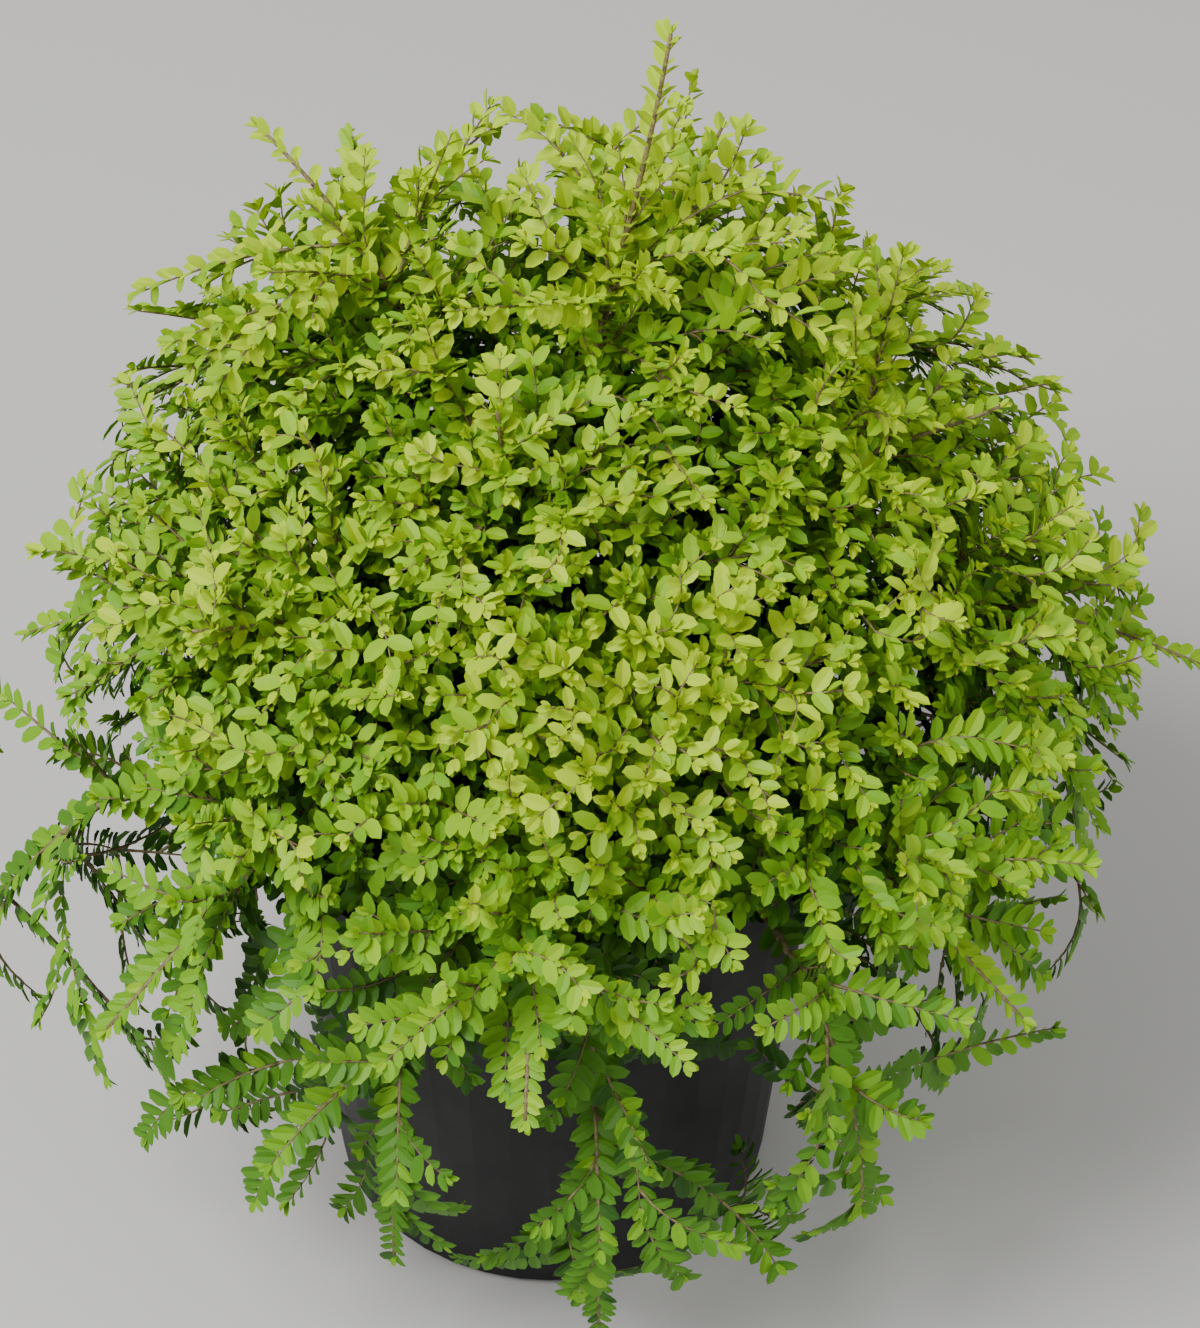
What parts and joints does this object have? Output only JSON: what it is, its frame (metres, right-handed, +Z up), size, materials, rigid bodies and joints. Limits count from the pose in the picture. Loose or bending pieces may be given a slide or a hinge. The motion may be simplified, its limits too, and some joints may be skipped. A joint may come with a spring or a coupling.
{
  "type": "potted golden box honeysuckle",
  "caption": "Low spreading golden-leaved box honeysuckle shrub in a round black plastic nursery pot, with arching shoots that hang over the rim.",
  "frame": {"origin": "middle of the pot's flat underside, on the ground", "axes": "+Z up along the pot's axis, -Y towards the front of the shrub as pictured, +X to the right in the picture"},
  "size_m": [0.4863, 0.4115, 0.5297],
  "materials": {
    "pot_plastic": "matte black, fine moulded grain",
    "compost": "dark crumbly potting compost",
    "bark": "thin brown bark",
    "gold_leaf": "golden yellow-green leaves, slightly glossy",
    "green_leaf": "mid-green leaves, slightly glossy"
  },
  "bodies": {
    "root": {"bough_back": "bark", "bough_back_left": "bark", "bough_back_right": "bark", "bough_front": "bark", "bough_front_left": "bark", "bough_front_right": "bark", "bough_leader": "bark", "bough_left": "bark", "bough_middle": "bark", "bough_right": "bark", "bough_trailing_back": "bark", "bough_trailing_front": "bark", "bough_trailing_front_left": "bark", "bough_trailing_front_right": "bark", "bough_trailing_left": "bark", "bough_trailing_right": "bark", "bough_upper_back": "bark", "bough_upper_back_left": "bark", "bough_upper_front": "bark", "bough_upper_left": "bark", "bough_upper_right": "bark", "compost": "compost", "foliage_back": "gold_leaf", "foliage_back_left": "gold_leaf", "foliage_back_right": "gold_leaf", "foliage_front": "gold_leaf", "foliage_front_left": "gold_leaf", "foliage_front_right": "gold_leaf", "foliage_leader": "gold_leaf", "foliage_left": "gold_leaf", "foliage_middle": "gold_leaf", "foliage_right": "gold_leaf", "foliage_trailing_back": "green_leaf", "foliage_trailing_front": "green_leaf", "foliage_trailing_front_left": "green_leaf", "foliage_trailing_front_right": "green_leaf", "foliage_trailing_left": "green_leaf", "foliage_trailing_right": "green_leaf", "foliage_upper_back": "gold_leaf", "foliage_upper_back_left": "gold_leaf", "foliage_upper_front": "gold_leaf", "foliage_upper_left": "gold_leaf", "foliage_upper_right": "gold_leaf", "main_stem": "bark", "pot": "pot_plastic"}
  },
  "joints": []
}
